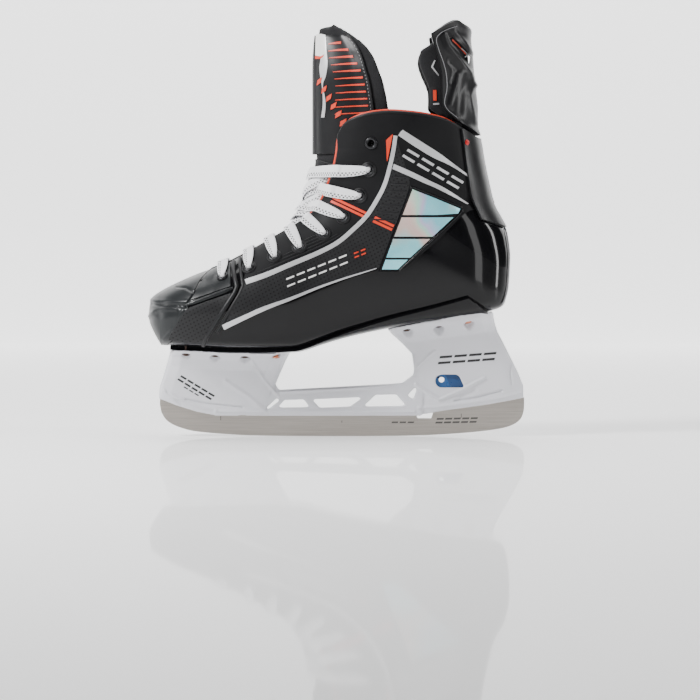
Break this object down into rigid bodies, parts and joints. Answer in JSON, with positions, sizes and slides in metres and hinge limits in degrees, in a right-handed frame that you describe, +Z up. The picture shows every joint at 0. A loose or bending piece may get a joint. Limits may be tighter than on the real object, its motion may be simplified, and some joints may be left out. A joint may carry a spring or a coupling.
{
  "type": "ice hockey skate",
  "caption": "Ice hockey skate, left foot: laced moulded boot with felt tongue and tendon guard, riveted runner holder, and a steel runner released by a trigger.",
  "frame": {"origin": "on the ground under the middle of the skate, halfway along and halfway across its box, level with the runner's lowest edge", "axes": "+Z up, toe towards -X, lateral side towards -Y"},
  "size_m": [0.3, 0.1018, 0.33],
  "materials": {
    "gloss_shell": "glossy black moulded composite",
    "toe_plastic": "semi-gloss dark grey moulded plastic",
    "liner_fabric": "brushed microfibre lining",
    "felt": "pressed wool felt",
    "piping": "orange corded binding",
    "board": "fibre insole board",
    "footbed_foam": "foam with a knit top cover",
    "holder_white": "satin white moulded nylon",
    "runner_steel": "ground and brushed",
    "trigger_blue": "blue moulded acetal",
    "spring_steel": "drawn wire",
    "copper": "copper-coated rivet",
    "eyelet_metal": "black oxide",
    "guard_rivet": "red anodised",
    "lace_white": "waxed flat braid"
  },
  "bodies": {
    "boot": {"toe_cap": "toe_plastic", "boot_shell": "gloss_shell", "outsole": "gloss_shell", "insole_board": "board", "footbed": "footbed_foam", "tongue_lower": "felt", "tendon_guard_base": "gloss_shell", "lace": "lace_white", "holder": "holder_white", "trigger_spring": "spring_steel", "liner_lateral": "liner_fabric", "guard_rivet_lateral": "guard_rivet", "collar_piping_lateral": "piping", "liner_medial": "liner_fabric", "guard_rivet_medial": "guard_rivet", "collar_piping_medial": "piping", "eyelet_lateral_1": "eyelet_metal", "eyelet_medial_1": "eyelet_metal", "eyelet_lateral_2": "eyelet_metal", "eyelet_medial_2": "eyelet_metal", "eyelet_lateral_3": "eyelet_metal", "eyelet_medial_3": "eyelet_metal", "eyelet_lateral_4": "eyelet_metal", "eyelet_medial_4": "eyelet_metal", "eyelet_lateral_5": "eyelet_metal", "eyelet_medial_5": "eyelet_metal", "eyelet_lateral_6": "eyelet_metal", "eyelet_medial_6": "eyelet_metal", "eyelet_lateral_7": "eyelet_metal", "eyelet_medial_7": "eyelet_metal", "eyelet_lateral_8": "eyelet_metal", "eyelet_medial_8": "eyelet_metal", "eyelet_lateral_9": "eyelet_metal", "eyelet_medial_9": "eyelet_metal", "holder_rivet_1": "copper", "holder_rivet_2": "copper", "holder_rivet_3": "copper", "holder_rivet_4": "copper", "holder_rivet_5": "copper", "holder_rivet_6": "copper", "holder_rivet_7": "copper", "holder_rivet_8": "copper", "holder_rivet_9": "copper", "holder_rivet_10": "copper", "holder_rivet_11": "copper", "holder_rivet_12": "copper", "holder_rivet_13": "copper", "holder_rivet_14": "copper"},
    "runner": {"runner": "runner_steel"},
    "trigger": {"trigger": "trigger_blue"},
    "tongue_top": {"tongue_upper": "felt", "tongue_face": "gloss_shell"},
    "guard_top": {"tendon_guard": "gloss_shell", "tendon_pad": "felt"}
  },
  "joints": [
    {"name": "runner_release", "type": "hinge", "parent": "boot", "child": "runner", "pos_m": [-0.141, 0, 0.028], "axis": [0, 1, 0], "range_deg": [0, 3]},
    {"name": "trigger_slide", "type": "slide", "parent": "boot", "child": "trigger", "axis": [1, 0, 0], "range_m": [-0.0041, 0], "deforming": ["trigger_spring"]},
    {"name": "tongue_flex", "type": "hinge", "parent": "boot", "child": "tongue_top", "pos_m": [-0.012, 0, 0.219], "axis": [0, 1, 0], "range_deg": [-10, 5], "stiffness_Nm_per_rad": 1.5},
    {"name": "guard_flex", "type": "hinge", "parent": "boot", "child": "guard_top", "pos_m": [0.113, 0, 0.243], "axis": [0, 1, 0], "range_deg": [-4, 15], "stiffness_Nm_per_rad": 3}
  ],
  "couplings": [
    {"joint": "trigger_slide", "follows": "runner_release", "m_per_rad": -0.0764}
  ]
}
